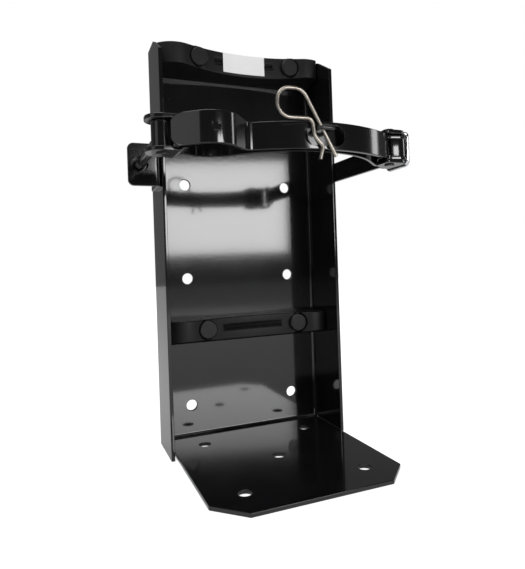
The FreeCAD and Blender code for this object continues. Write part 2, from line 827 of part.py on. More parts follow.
bracket_left = band_end_x - size("rivet_head") - 0.2
bend_right = Vector(bracket_left - size("band_bend_gap"), end_y, 0)
wrap_first = 270 - size("band_wrap_left")
bend_reach = bend_right - cylinder_centre
bend_angle = 360 + math.degrees(math.atan2(bend_reach.y, bend_reach.x))
wrap_last = bend_angle - math.degrees(math.acos(band_radius / bend_reach.Length))
band_corner = wrap_corner(cylinder_centre, band_radius, wrap_first, wrap_last)
leave_left = polar(cylinder_centre, band_radius, wrap_first) - polar(Vector(0, 0, 0), 3.2, wrap_first + 90)
band_path = [
    (tab_line, tab_front),
    (tab_line, tab_back),
    (cylinder_centre.x - cylinder_radius - size("band_valley_gap"), cylinder_y - size("band_valley_lead")),
    (leave_left.x, leave_left.y),
    (band_corner.x, band_corner.y),
    (bend_right.x, bend_right.y),
    (band_end_x, end_y),
]
band_radii = [0, 3.0, 9.0, 10.0, band_radius, 3.5, 0]
band_face = strip_face(band_path, band_radii, band_thick / 2, band_thick / 2)
band_bottom = level - size("band_height") / 2
band_strip = keep("band_strip", stand(band_face, "plan", band_bottom).extrude(UP * size("band_height")))
band_end_front = end_y - band_thick / 2
end_rivet_x = (bracket_left + band_end_x) / 2
band_tools = rivet_holes("tab_rivet_hole", Vector(clevis_right - 2 * lug, tab_rivet_y, 0), RIGHT)
band_tools += rivet_holes("end_rivet_hole", Vector(end_rivet_x, band_end_front - 3 * band_thick, 0), BACK)
finish(cut("band_cut", band_strip, band_tools), "clamp_band")


def rivet_pair(label, grip_length, start, axis):
    """Two rivets, flush at the start and domed at the far end."""
    radius = size("rivet") / 2
    wide = size("rivet_head") / 2
    high = size("rivet_head_height")
    points = [
        (0, 0),
        (radius, 0),
        (radius, grip_length),
        (wide, grip_length),
        (wide, grip_length + high * 0.3),
        (wide * 0.5, grip_length + high),
        (0, grip_length + high),
    ]
    radii = [0, 0, 0, 0, 0.5, 1.0, 0]
    pair = []
    for index, height in enumerate(rivet_levels):
        body = turned("%s_%d" % (label, index), points, radii)
        place = Vector(start.x, start.y, height)
        body.Placement = FreeCAD.Placement(place, FreeCAD.Rotation(BACK, axis))
        pair.append(body)
    group = doc.addObject("Part::Compound", label + "_group")
    group.Links = pair
    finish(group, label)


rivet_pair("band_rivets", lug + band_thick, Vector(clevis_right - lug, tab_rivet_y, 0), RIGHT)

# Lever bracket: U on the band's right end that carries the lever's pin.
plate = size("bracket_plate")
bracket_back = band_end_front
bracket_line = size("bracket_height") / 2 - plate / 2
bracket_front = pivot.y - 7.5
bracket_right = band_end_x + 0.6
bracket_path = [
    (bracket_front, level + bracket_line),
    (bracket_back - plate / 2, level + bracket_line),
    (bracket_back - plate / 2, level - bracket_line),
    (bracket_front, level - bracket_line),
]
bracket_face = strip_face(bracket_path, [0, 1.1 * plate, 1.1 * plate, 0], plate / 2, plate / 2)
bracket_low = pivot.x - 7
bracket_strip = keep(
    "bracket_strip",
    stand(bracket_face, "side", bracket_low).extrude(RIGHT * (bracket_right - bracket_low)),
)
bracket_plan = plate_face(
    [
        (bracket_low, bracket_front),
        (bracket_right, bracket_front),
        (bracket_right, bracket_back),
        (bracket_left, bracket_back),
        (bracket_left, bracket_back - 1.5 * plate),
        (bracket_low, pivot.y + 4.5),
    ],
    [2.0, 5.0, 0, 0, 0, 3.0],
)
bracket_reach = size("bracket_height")
bracket_block = keep(
    "bracket_block",
    stand(bracket_plan, "plan", level - bracket_reach).extrude(UP * 2 * bracket_reach),
)
bracket_blank = common("bracket_blank", bracket_strip, bracket_block)
bracket_bore = cylinder(
    "bracket_bore_tool", "sizes.lever_pin + 2 * sizes.pin_gap", "3 * sizes.bracket_height",
    Vector(pivot.x, pivot.y, level - 1.5 * size("bracket_height")), UP,
)
bracket_tools = [bracket_bore]
bracket_tools += rivet_holes("bracket_rivet_hole", Vector(end_rivet_x, band_end_front - 3 * band_thick, 0), BACK)
finish(cut("bracket_cut", bracket_blank, bracket_tools), "lever_bracket")
rivet_start = Vector(end_rivet_x, bracket_back - plate, 0)
rivet_pair("lever_bracket_rivets", plate + band_thick, rivet_start, BACK)
headed_pin("lever_pin", size("lever_pin"), size("bracket_height") / 2 + 0.05, Vector(pivot.x, pivot.y, level))

# Lever: arched strap with a slot, bent out to a grip on the left, ears with claws on the right.
crown_x = cylinder_centre.x + size("lever_face_shift")
end_across = pivot.x - size("lever_end_inset") - crown_x
end_back = pivot.y - size("lever_end_lead") - lever_front
face_radius = (end_across ** 2 + end_back ** 2) / (2 * end_back)
face_centre = Vector(crown_x, lever_front + face_radius, 0)
lever_plate = size("lever_plate")
left_across = crown_x - bolt_x - size("lever_left_reach")
lever_first = 270 - math.degrees(math.asin(left_across / face_radius))
lever_last = 270 + math.degrees(math.asin(end_across / face_radius))
lever_corner = wrap_corner(face_centre, face_radius, lever_first, lever_last)
right_point = polar(face_centre, face_radius, lever_last) + polar(Vector(0, 0, 0), 1.5, lever_last + 90)
left_point = polar(face_centre, face_radius, lever_first) - polar(Vector(0, 0, 0), 4.6, lever_first + 90)
grip_end = Vector(clevis_left + size("grip_end_inset"), clevis_front - size("grip_end_gap"), 0)
grip_corner = grip_end + Vector(24.2, -18.8, 0)
lever_path = [
    (right_point.x, right_point.y),
    (lever_corner.x, lever_corner.y),
    (left_point.x, left_point.y),
    (grip_corner.x, grip_corner.y),
    (grip_end.x, grip_end.y),
]
lever_radii = [0, face_radius, 5.0, 16.0, 0]
lever_face = strip_face(lever_path, lever_radii, 0, lever_plate)
lever_reach = size("grip_height")
lever_strip = keep(
    "lever_strip",
    stand(lever_face, "plan", level - lever_reach).extrude(UP * 2 * lever_reach),
)
half_lever = size("lever_height") / 2
half_grip = size("grip_height") / 2
tip_x = grip_end.x - 2
lever_outline = plate_face(
    [
        (right_point.x + 2, level - half_lever),
        (right_point.x + 2, level + half_lever),
        (left_point.x, level + half_lever),
        (grip_corner.x + 12, level + half_grip),
        (tip_x + 1.2, level + half_grip),
        (tip_x + 1.2, level - half_grip),
        (grip_corner.x + 12, level - half_grip),
        (left_point.x, level - half_lever),
    ],
    [0, 0, 8, 8, size("grip_tip_round"), size("grip_tip_round"), 8, 8],
)
lever_block = keep("lever_block", stand(lever_outline, "front", 0).extrude(BACK * 2 * lever_front))
lever_strap = common("lever_strap", lever_strip, lever_block)

bail_bar = Vector(eye_x - size("bail_inset"), pivot.y - size("bail_lead"), 0)
ear_plan = plate_face(
    [
        (pivot.x - 10.5, pivot.y - 5.9),
        (pivot.x - 10.0, pivot.y - 1.5),
        (pivot.x - 5.5, pivot.y + 5.6),
        (pivot.x + 4.0, pivot.y + 5.6),
        (pivot.x + 9.0, pivot.y + 4.2),
        (bail_bar.x + 1.0, bail_bar.y + 6.0),
        (bail_bar.x + 1.8, bail_bar.y + 1.8),
        (bail_bar.x - 1.2, bail_bar.y + 0.5),
        (bail_bar.x - 2.6, bail_bar.y - 2.0),
        (pivot.x + 5.5, pivot.y - 5.6),
        (pivot.x - 1.0, pivot.y - 4.2),
    ],
    [0, 2.0, 4.5, 4.0, 4.0, 1.8, 0, 0, 1.0, 3.0, 0],
)
ear_outer = half_lever
ear_inner = half_lever - lever_plate
ears = []
for tag, bottom in (("upper", level + ear_inner), ("lower", level - ear_outer)):
    ears.append(keep("lever_ear_" + tag, stand(ear_plan, "plan", bottom).extrude(UP * lever_plate)))
lever_blank = fuse("lever_blank", [lever_strap] + ears)
lever_bore = cylinder(
    "lever_bore_tool", "sizes.lever_pin + 2 * sizes.pin_gap", "3 * sizes.lever_height",
    Vector(pivot.x, pivot.y, level - 1.5 * size("lever_height")), UP,
)
claw_tool = cylinder(
    "claw_tool", "sizes.bail_wire + 2 * sizes.bail_claw_gap", "3 * sizes.lever_height",
    Vector(bail_bar.x, bail_bar.y, level - 1.5 * size("lever_height")), UP,
)
slot_radius = size("slot_height") / 2
slot_left = cylinder_centre.x - size("slot_shift") - size("slot_length") / 2
slot_right = slot_left + size("slot_length")
tool_start = lever_front + 4 * lever_plate
slot_face = plate_face(
    [
        (slot_left, level - slot_radius),
        (slot_right, level - slot_radius),
        (slot_right, level + slot_radius),
        (slot_left, level + slot_radius),
    ],
    [slot_radius * 0.98] * 4,
)
slot_tool = keep("slot_tool", stand(slot_face, "front", tool_start).extrude(-BACK * 8 * lever_plate))
grip_tool = cylinder(
    "grip_hole_tool", "sizes.grip_hole", "12 * sizes.lever_plate",
    Vector(grip_corner.x - size("grip_hole_inset"), tool_start, level), -BACK,
)
finish(cut("lever_cut", lever_blank, [lever_bore, claw_tool, slot_tool, grip_tool]), "latch_lever")

# Staple on the band, standing through the lever's slot.
staple_level = level + size("staple_rise")
staple_root = cylinder_centre.y - cylinder_radius - band_thick - 0.9
staple_middle = cylinder_centre.x - size("staple_shift")
staple_left = staple_middle - size("staple_span") / 2
staple_right = staple_middle + size("staple_span") / 2
staple_front = lever_front - size("staple_stand")
staple_points = [
    Vector(staple_left, staple_root, staple_level),
    Vector(staple_left, staple_front, staple_level),
    Vector(staple_right, staple_front, staple_level),
    Vector(staple_right, staple_root, staple_level),
]
staple_bow = keep("staple_bow", wire_rod(staple_points, [0, 2.0, 2.0, 0], size("staple_wire")))
base_inner = cylinder_radius + band_thick + 0.02
base_angle = 8.6
base_outer = base_inner + size("staple_base")
base_edges = []
base_first = 268 - base_angle
base_last = 268 + base_angle
base_corners = [
    polar(cylinder_centre, base_inner, base_first),
    polar(cylinder_centre, base_inner, base_last),
    polar(cylinder_centre, base_outer, base_last),
    polar(cylinder_centre, base_outer, base_first),
]
base_edges.append(Part.Arc(base_corners[0], polar(cylinder_centre, base_inner, 268), base_corners[1]).toShape())
base_edges.append(Part.LineSegment(base_corners[1], base_corners[2]).toShape())
base_edges.append(Part.Arc(base_corners[2], polar(cylinder_centre, base_outer, 268), base_corners[3]).toShape())
base_edges.append(Part.LineSegment(base_corners[3], base_corners[0]).toShape())
base_shape = stand(face_of(base_edges), "plan", level - 5.5).extrude(UP * size("staple_base_height"))
staple_foot = keep("staple_foot", base_shape)
finish(fuse("staple_fuse", [staple_bow, staple_foot]), "band_staple")

# Hairpin clip: straight leg through the staple, round bow, waved leg beside the staple.
clip_pairs = [
    (6.8, -15.5),
    (-13.3, 21.3),
    (-28.9, 21.3),
    (-29.2, 4.7),
    (-8.0, 5.3),
    (-6.8, -4.3),
    (-1.5, -9.9),
    (-3.5, -17.5),
]
clip_y = lever_front - size("clip_stand")
clip_points = [Vector(staple_middle + across, clip_y, staple_level + rise) for across, rise in clip_pairs]
clip_radii = [0, 7.8, 7.8, 7.8, 3.5, 6.0, 3.2, 0]
clip = keep("clip_rod", wire_rod(clip_points, clip_radii, size("clip_wire")))
finish(clip, "hairpin_clip")

# Bail: closed wire loop in the arm's eye, its front bar behind which the lever's claws sit.
half_bail = size("bail_outer_height") / 2 - size("bail_wire") / 2
front_bar = Vector(bail_bar.x, bail_bar.y, level)
rear_bar = Vector(eye_x, eye_y, level)
bail_round = size("bail_corner")
bail_path = [
    front_bar - UP * half_bail,
    rear_bar - UP * half_bail,
    rear_bar + UP * half_bail,
    front_bar + UP * half_bail,
]
bail = keep("bail_rod", wire_rod(bail_path, [bail_round] * 4, size("bail_wire"), closed=True))
finish(bail, "bail")

doc.recompute()
for item in doc.Objects:
    if "Invalid" in item.State or "Error" in item.State:
        raise RuntimeError("failed object: " + item.Name)
for label, item in nodes.items():
    shape = item.Shape
    if shape.isNull() or not shape.isValid() or not shape.Solids:
        raise RuntimeError("bad shape: " + label)
for label, item in nodes.items():
    item.Shape.exportStep("parts/%s.step" % label)
    box = item.Shape.BoundBox
    print("%-22s solids %d volume %9.1f  x %7.1f %7.1f  y %7.1f %7.1f  z %6.1f %6.1f" % (
        label, len(item.Shape.Solids), item.Shape.Volume,
        box.XMin, box.XMax, box.YMin, box.YMax, box.ZMin, box.ZMax,
    ))
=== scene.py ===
import bpy
import bmesh
import json
import math
from mathutils import Matrix, Vector
from mathutils.bvhtree import BVHTree


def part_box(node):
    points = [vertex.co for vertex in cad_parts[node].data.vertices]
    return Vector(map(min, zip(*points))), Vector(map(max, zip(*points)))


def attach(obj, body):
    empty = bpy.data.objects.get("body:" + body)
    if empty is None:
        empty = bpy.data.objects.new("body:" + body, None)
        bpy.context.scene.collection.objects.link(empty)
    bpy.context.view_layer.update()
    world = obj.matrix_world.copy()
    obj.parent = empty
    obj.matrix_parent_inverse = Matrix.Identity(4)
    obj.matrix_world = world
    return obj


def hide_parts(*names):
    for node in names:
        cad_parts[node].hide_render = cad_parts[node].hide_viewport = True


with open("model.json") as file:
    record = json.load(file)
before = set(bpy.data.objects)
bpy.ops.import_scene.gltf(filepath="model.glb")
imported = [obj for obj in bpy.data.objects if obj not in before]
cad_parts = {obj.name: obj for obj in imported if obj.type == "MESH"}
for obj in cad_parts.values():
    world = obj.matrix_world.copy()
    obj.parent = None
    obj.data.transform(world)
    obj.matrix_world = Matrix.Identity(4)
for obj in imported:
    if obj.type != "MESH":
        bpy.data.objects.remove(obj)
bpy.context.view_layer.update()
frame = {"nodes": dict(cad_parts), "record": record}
scene = bpy.context.scene
nodes = frame["nodes"]


# Materials

def node_of(tree, kind, **values):
    """A new node with named inputs set to plain values."""
    made = tree.nodes.new(kind)
    for key, value in values.items():
        name = key.replace("_", " ")
        if name in made.inputs:
            made.inputs[name].default_value = value
        else:
            setattr(made, key, value)
    return made


def group_frame(name, inputs, outputs):
    """An empty shader group with float inputs and named outputs."""
    tree = bpy.data.node_groups.new(name, "ShaderNodeTree")
    for label, value in inputs:
        socket = tree.interface.new_socket(label, in_out="INPUT", socket_type="NodeSocketFloat")
        socket.default_value = value
    for label, kind in outputs:
        tree.interface.new_socket(label, in_out="OUTPUT", socket_type=kind)
    return tree, tree.nodes.new("NodeGroupInput"), tree.nodes.new("NodeGroupOutput")


def math_node(tree, operation, first, second):
    """One step of arithmetic on two values, each a socket or a number."""
    made = tree.nodes.new("ShaderNodeMath")
    made.operation = operation
    for index, item in enumerate((first, second)):
        if isinstance(item, (int, float)):
            made.inputs[index].default_value = item
        else:
            tree.links.new(item, made.inputs[index])
    return made.outputs[0]


def noise(tree, place, scale, detail=3.0, rough=0.5):
    """Noise on a place socket, scale a number or a socket."""
    made = node_of(tree, "ShaderNodeTexNoise", Detail=detail, Roughness=rough)
    tree.links.new(place, made.inputs["Vector"])
    if isinstance(scale, (int, float)):
        made.inputs["Scale"].default_value = scale
    else:
        tree.links.new(scale, made.inputs["Scale"])
    return made.outputs["Fac"]


def ramp(tree, value, stops):
    """Colour ramp with the given (place, colour) stops."""
    made = tree.nodes.new("ShaderNodeValToRGB")
    line = made.color_ramp
    while len(line.elements) < len(stops):
        line.elements.new(0.5)
    for element, (place, colour) in zip(line.elements, stops):
        element.position = place
        element.color = (*colour, 1.0)
    tree.links.new(value, made.inputs["Fac"])
    return made.outputs["Color"]


CLOUD_SCALE = 26.0
NIB_RADIUS = 0.14
NIB_RARITY = 0.986
NIB_RISE = 7.0


def paint_skin_group():
    """Sprayed paint: soft orange peel, cloudy gloss and a few dust nibs."""
    tree, start, end = group_frame(
        "paint_skin",
        [("Peel Scale", 420.0), ("Nib Scale", 330.0), ("Gloss Spread", 0.08)],
        [("Height", "NodeSocketFloat"), ("Gloss", "NodeSocketFloat"), ("Dust", "NodeSocketFloat"),
         ("Cloud", "NodeSocketFloat")],
    )
    place = tree.nodes.new("ShaderNodeTexCoord").outputs["Object"]
    peel = noise(tree, place, start.outputs["Peel Scale"], detail=2.0, rough=0.5)
    cloud = noise(tree, place, CLOUD_SCALE, detail=4.0, rough=0.6)
    cells = node_of(tree, "ShaderNodeTexVoronoi")
    tree.links.new(place, cells.inputs["Vector"])
    tree.links.new(start.outputs["Nib Scale"], cells.inputs["Scale"])
    near = math_node(tree, "LESS_THAN", cells.outputs["Distance"], NIB_RADIUS)
    split = tree.nodes.new("ShaderNodeSeparateColor")
    tree.links.new(cells.outputs["Color"], split.inputs["Color"])
    rare = math_node(tree, "GREATER_THAN", split.outputs["Red"], NIB_RARITY)
    dust = math_node(tree, "MULTIPLY", near, rare)
    bumps = math_node(tree, "MULTIPLY", dust, NIB_RISE)
    tree.links.new(math_node(tree, "ADD", peel, bumps), end.inputs["Height"])
    swing = math_node(tree, "SUBTRACT", cloud, 0.5)
    spread = math_node(tree, "MULTIPLY", swing, start.outputs["Gloss Spread"])
    tree.links.new(spread, end.inputs["Gloss"])
    tree.links.new(dust, end.inputs["Dust"])
    tree.links.new(cloud, end.inputs["Cloud"])
    return tree


FLOW_SCALE = 34.0
SCUFF_SCALE = 260.0
SCUFF_LEVEL = 0.66
SCUFF_STRETCH = (0.25, 1.0, 1.6)


def moulded_skin_group():
    """Moulded rubber: fine grain, flow clouds and light scuffs."""
    tree, start, end = group_frame(
        "moulded_skin",
        [("Grain Scale", 1500.0)],
        [("Height", "NodeSocketFloat"), ("Cloud", "NodeSocketFloat"), ("Scuff", "NodeSocketFloat")],
    )
    place = tree.nodes.new("ShaderNodeTexCoord").outputs["Object"]
    grain = noise(tree, place, start.outputs["Grain Scale"], detail=3.0, rough=0.6)
    tree.links.new(grain, end.inputs["Height"])
    flow = noise(tree, place, FLOW_SCALE, detail=4.0, rough=0.6)
    tree.links.new(flow, end.inputs["Cloud"])
    stretch = node_of(tree, "ShaderNodeMapping")
    stretch.inputs["Scale"].default_value = SCUFF_STRETCH
    tree.links.new(place, stretch.inputs["Vector"])
    fine = noise(tree, stretch.outputs["Vector"], SCUFF_SCALE, detail=5.0, rough=0.7)
    tree.links.new(math_node(tree, "GREATER_THAN", fine, SCUFF_LEVEL), end.inputs["Scuff"])
    return tree


STAIN_SCALE = 150.0
STREAK_STRETCH = (1.0, 1.0, 0.2)


def drawn_metal_group():
    """Plated or drawn metal: fine streaks and faint staining."""
    tree, start, end = group_frame(
        "drawn_metal",
        [("Streak Scale", 900.0)],
        [("Streak", "NodeSocketFloat"), ("Stain", "NodeSocketFloat")],
    )
    place = tree.nodes.new("ShaderNodeTexCoord").outputs["Object"]
    stretch = node_of(tree, "ShaderNodeMapping")
    stretch.inputs["Scale"].default_value = STREAK_STRETCH
    tree.links.new(place, stretch.inputs["Vector"])
    streak = noise(tree, stretch.outputs["Vector"], start.outputs["Streak Scale"], detail=3.0, rough=0.6)
    tree.links.new(streak, end.inputs["Streak"])
    stain = noise(tree, place, STAIN_SCALE, detail=4.0, rough=0.6)
    tree.links.new(stain, end.inputs["Stain"])
    return tree


PAINT_SKIN = paint_skin_group()
MOULDED_SKIN = moulded_skin_group()
DRAWN_METAL = drawn_metal_group()


def blank_material(name):
    """A new node material with its tree and its shader."""
    made = bpy.data.materials.new(name)
    made.use_nodes = True
    return made, made.node_tree, made.node_tree.nodes["Principled BSDF"]


def use_group(tree, group, **values):
    """A shader group in a tree, with named inputs set."""
    made = tree.nodes.new("ShaderNodeGroup")
    made.node_tree = group
    for key, value in values.items():
        made.inputs[key.replace("_", " ")].default_value = value
    return made


def bump_into(tree, height, shader, strength, distance):
    """Bump from a height socket into the shader's normal."""
    bump = node_of(tree, "ShaderNodeBump", Strength=strength, Distance=distance)
    tree.links.new(height, bump.inputs["Height"])
    tree.links.new(bump.outputs["Normal"], shader.inputs["Normal"])


def paint(name, dark, light, gloss, spread, peel, strength, coat):
    """Black paint with its own gloss, peel and clear top."""
    made, tree, shader = blank_material(name)
    skin = use_group(tree, PAINT_SKIN, Peel_Scale=peel, Gloss_Spread=spread)
    body = ramp(tree, skin.outputs["Cloud"], [(0.32, dark), (0.7, light)])
    nib = tree.nodes.new("ShaderNodeMix")
    nib.data_type = "RGBA"
    nib.inputs["B"].default_value = (0.03, 0.03, 0.032, 1.0)
    tree.links.new(skin.outputs["Dust"], nib.inputs["Factor"])
    tree.links.new(body, nib.inputs["A"])
    tree.links.new(nib.outputs["Result"], shader.inputs["Base Color"])
    tree.links.new(math_node(tree, "ADD", skin.outputs["Gloss"], gloss), shader.inputs["Roughness"])
    shader.inputs["Coat Weight"].default_value = coat
    shader.inputs["Coat Roughness"].default_value = gloss * 0.6
    bump_into(tree, skin.outputs["Height"], shader, strength, 0.0002)
    return made


def rubber(name, dark, light, gloss, scuff_colour, strength):
    """Black moulded rubber or plastic."""
    made, tree, shader = blank_material(name)
    skin = use_group(tree, MOULDED_SKIN)
    body = ramp(tree, skin.outputs["Cloud"], [(0.3, dark), (0.72, light)])
    scuffed = tree.nodes.new("ShaderNodeMix")
    scuffed.data_type = "RGBA"
    scuffed.inputs["B"].default_value = (*scuff_colour, 1.0)
    tree.links.new(skin.outputs["Scuff"], scuffed.inputs["Factor"])
    tree.links.new(body, scuffed.inputs["A"])
    tree.links.new(scuffed.outputs["Result"], shader.inputs["Base Color"])
    shader.inputs["Specular IOR Level"].default_value = 0.3
    spread = math_node(tree, "MULTIPLY", skin.outputs["Cloud"], 0.16)
    tree.links.new(math_node(tree, "ADD", spread, gloss), shader.inputs["Roughness"])
    bump_into(tree, skin.outputs["Height"], shader, strength, 0.0002)
    return made


def metal(name, dark, light, gloss, spread):
    """Bright plated or drawn metal."""
    made, tree, shader = blank_material(name)
    skin = use_group(tree, DRAWN_METAL)
    body = ramp(tree, skin.outputs["Stain"], [(0.3, dark), (0.62, light)])
    tree.links.new(body, shader.inputs["Base Color"])
    shader.inputs["Metallic"].default_value = 1.0
    streak = math_node(tree, "MULTIPLY", skin.outputs["Streak"], spread)
    tree.links.new(math_node(tree, "ADD", streak, gloss), shader.inputs["Roughness"])
    bump_into(tree, skin.outputs["Streak"], shader, 0.12, 0.0001)
    return made


FILM_DARK = (0.76, 0.76, 0.76)
FILM_LIGHT = (0.82, 0.82, 0.82)


def film(name):
    """Blank white printed film, a little cloudy."""
    made, tree, shader = blank_material(name)
    skin = use_group(tree, MOULDED_SKIN, Grain_Scale=700.0)
    tone = ramp(tree, skin.outputs["Cloud"], [(0.3, FILM_DARK), (0.7, FILM_LIGHT)])
    tree.links.new(tone, shader.inputs["Base Color"])
    shader.inputs["Roughness"].default_value = 0.38
    bump_into(tree, skin.outputs["Height"], shader, 0.05, 0.0001)
    return made


PAINT_DARK = (0.003, 0.003, 0.0035)

channel_paint = paint(
    "channel_paint", PAINT_DARK, light=(0.006, 0.006, 0.0065),
    gloss=0.10, spread=0.05, peel=380.0, strength=0.05, coat=0.45,
)
clamp_paint = paint(
    "clamp_paint", PAINT_DARK, light=(0.006, 0.006, 0.0065),
    gloss=0.14, spread=0.05, peel=420.0, strength=0.03, coat=0.5,
)
hardware_black = paint(
    "hardware_black", PAINT_DARK, light=(0.007, 0.007, 0.0075),
    gloss=0.17, spread=0.06, peel=520.0, strength=0.05, coat=0.4,
)
saddle_rubber = rubber(
    "saddle_rubber", dark=(0.003, 0.003, 0.0033), light=(0.007, 0.007, 0.0075),
    gloss=0.38, scuff_colour=(0.01, 0.01, 0.0105), strength=0.3,
)
bumper_rubber = rubber(
    "bumper_rubber", dark=(0.006, 0.006, 0.0065), light=(0.011, 0.011, 0.012),
    gloss=0.32, scuff_colour=(0.018, 0.018, 0.02), strength=0.25,
)
label_film = film("label_film")
zinc_steel = metal(
    "zinc_steel", dark=(0.66, 0.67, 0.69), light=(0.82, 0.83, 0.85), gloss=0.1, spread=0.14,
)
nickel_wire = metal(
    "nickel_wire", dark=(0.28, 0.25, 0.215), light=(0.42, 0.385, 0.34), gloss=0.22, spread=0.14,
)

FINISHES = {
    "channel_paint": channel_paint,
    "clamp_paint": clamp_paint,
    "hardware_black": hardware_black,
    "saddle_rubber": saddle_rubber,
    "bumper_rubber": bumper_rubber,
    "label_film": label_film,
    "zinc_steel": zinc_steel,
    "nickel_wire": nickel_wire,
}
SLOT_OF = {part["node"]: part["material_slot"] for part in frame["record"]["subparts"]}
# Painted shade: the washer sits in the shade of the ear's hole and shows dark there, so its piece takes
# the bolt's black finish instead of its own zinc.
SLOT_OF["eye_bolt_washer"] = "hardware_black"
BODY_OF = {}
for body_name, members in frame["record"]["behaviour"]["bodies"].items():
    for member in members:
        BODY_OF[member] = body_name

for name, item in nodes.items():
    item.data.materials.clear()
    item.data.materials.append(FINISHES[SLOT_OF[name]])


# Pieces

def settle(obj, node, replace=True):
    """Gives a finished piece its body and the node that it stands for."""
    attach(obj, BODY_OF[node])
    if replace:
        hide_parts(node)
    return obj


def link_mesh(name, mesh, finish):
    """A new object in the scene with one finish."""
    obj = bpy.data.objects.new(name, mesh)
    scene.collection.objects.link(obj)
    mesh.materials.clear()
    mesh.materials.append(finish)
    return obj


def live_to_plain(obj):
    """Turns an object with live modifiers into a plain mesh at the origin."""
    bpy.context.view_layer.update()
    graph = bpy.context.evaluated_depsgraph_get()
    mesh = bpy.data.meshes.new_from_object(obj.evaluated_get(graph))
    obj.modifiers.clear()
    obj.data = mesh
    return obj


MERGE_REACH = 2e-6
FLAT_ANGLE = math.radians(0.4)
SHARP_ANGLE = math.radians(28.0)
HOLE_ROUNDING = 0.2
ROUND_SEGMENTS = 2


def merged_copy(node):
    """A node's mesh with its loose triangles joined and its flat faces made whole."""
    source = bmesh.new()
    source.from_mesh(nodes[node].data)
    bmesh.ops.remove_doubles(source, verts=source.verts, dist=MERGE_REACH)
    bmesh.ops.dissolve_limit(
        source, angle_limit=FLAT_ANGLE, verts=source.verts, edges=source.edges,
    )
    mesh = bpy.data.meshes.new(node + "_merged")
    source.to_mesh(mesh)
    source.free()
    return mesh


def weigh_edges(mesh, punched):
    """Full rounding on sharp edges, a fifth of it round the punched holes."""
    shape = bmesh.new()
    shape.from_mesh(mesh)
    layer = shape.edges.layers.float.new("bevel_weight_edge")
    for edge in shape.edges:
        if len(edge.link_faces) != 2 or edge.calc_face_angle(0.0) < SHARP_ANGLE:
            continue
        middle = (edge.verts[0].co + edge.verts[1].co) / 2
        edge[layer] = HOLE_ROUNDING if punched(middle) else 1.0
    shape.to_mesh(mesh)
    shape.free()


def near_no_hole(place):
    """False everywhere, for nodes whose holes are rounded like their rims."""
    return False


def softened(node, width, punched=near_no_hole):
    """The node's shape with its sharp edges rounded as pressing, casting or paint leaves them."""
    finish = FINISHES[SLOT_OF[node]]
    obj = link_mesh(node + "_soft", merged_copy(node), finish)
    weigh_edges(obj.data, punched)
    return settle(rounded(obj, width, skin_of(nodes[node].data)), node)


def skin_of(mesh):
    """Search tree of a mesh's faces."""
    shape = bmesh.new()
    shape.from_mesh(mesh)
    tree = BVHTree.FromBMesh(shape)
    shape.free()
    return tree


def held_in(mesh, skin, width):
    """Brings back each point that the rounding pushed out of the shape or too deep into it."""
    shape = bmesh.new()
    shape.from_mesh(mesh)
    for point in shape.verts:
        near, normal, _, gap = skin.find_nearest(point.co)
        if (point.co - near).dot(normal) > -0.5 * gap or gap > width:
            point.co = near
    bmesh.ops.dissolve_degenerate(shape, dist=1e-6, edges=shape.edges)
    shape.to_mesh(mesh)
    shape.free()


def rounded(obj, width, skin):
    """Rounds the weighed edges, keeps them inside the first shape and evens the shading."""
    bevel = obj.modifiers.new("edge_round", "BEVEL")
    bevel.width = width
    bevel.segments = ROUND_SEGMENTS
    bevel.limit_method = "WEIGHT"
    bevel.use_clamp_overlap = False
    live_to_plain(obj)
    held_in(obj.data, skin, width)
    level = obj.modifiers.new("even_shading", "WEIGHTED_NORMAL")
    level.mode = "FACE_AREA"
    level.weight = 80
    for face in obj.data.polygons:
        face.use_smooth = True
    return live_to_plain(obj)


EDGE_ROUNDS = {
    "back_channel": 0.0004,
    "upper_saddle": 0.0009,
    "lower_saddle": 0.0009,
    "ear_bracket": 0.0004,
    "arm_bracket": 0.0004,
    "eye_bolt": 0.0003,
    "eye_bolt_washer": 0.0002,
    "eye_bolt_nut": 0.0004,
    "band_clevis": 0.0004,
    "clamp_band": 0.0003,
    "lever_bracket": 0.0004,
}
for node_name, width in EDGE_ROUNDS.items():
    softened(node_name, width)

CLAMP_LEVEL = 0.21
SLOT_SPAN = (-0.0095, 0.017)
SLOT_HALF = 0.0064
GRIP_HOLE_X = -0.0617
GRIP_HOLE_REACH = 0.0045


def in_lever_hole(place):
    """True near the lever's slot and its grip's hole."""
    rise = abs(place.z - CLAMP_LEVEL)
    in_slot = SLOT_SPAN[0] < place.x < SLOT_SPAN[1] and rise < SLOT_HALF
    in_hole = math.hypot(place.x - GRIP_HOLE_X, rise) < GRIP_HOLE_REACH
    return in_slot or in_hole


LEVER_ROUND = 0.0005
softened("latch_lever", LEVER_ROUND, punched=in_lever_hole)

LEVER_PIVOT = (0.061, -0.1315)
KNUCKLE_ROUND = 0.0003
KNUCKLE_CURVE = ((-0.0016, -0.0042), (0.0048, -0.0066), (0.009, -0.0045))
KNUCKLE_THICK = 0.0015
KNUCKLE_REACH = 0.0056
KNUCKLE_STEPS = 20


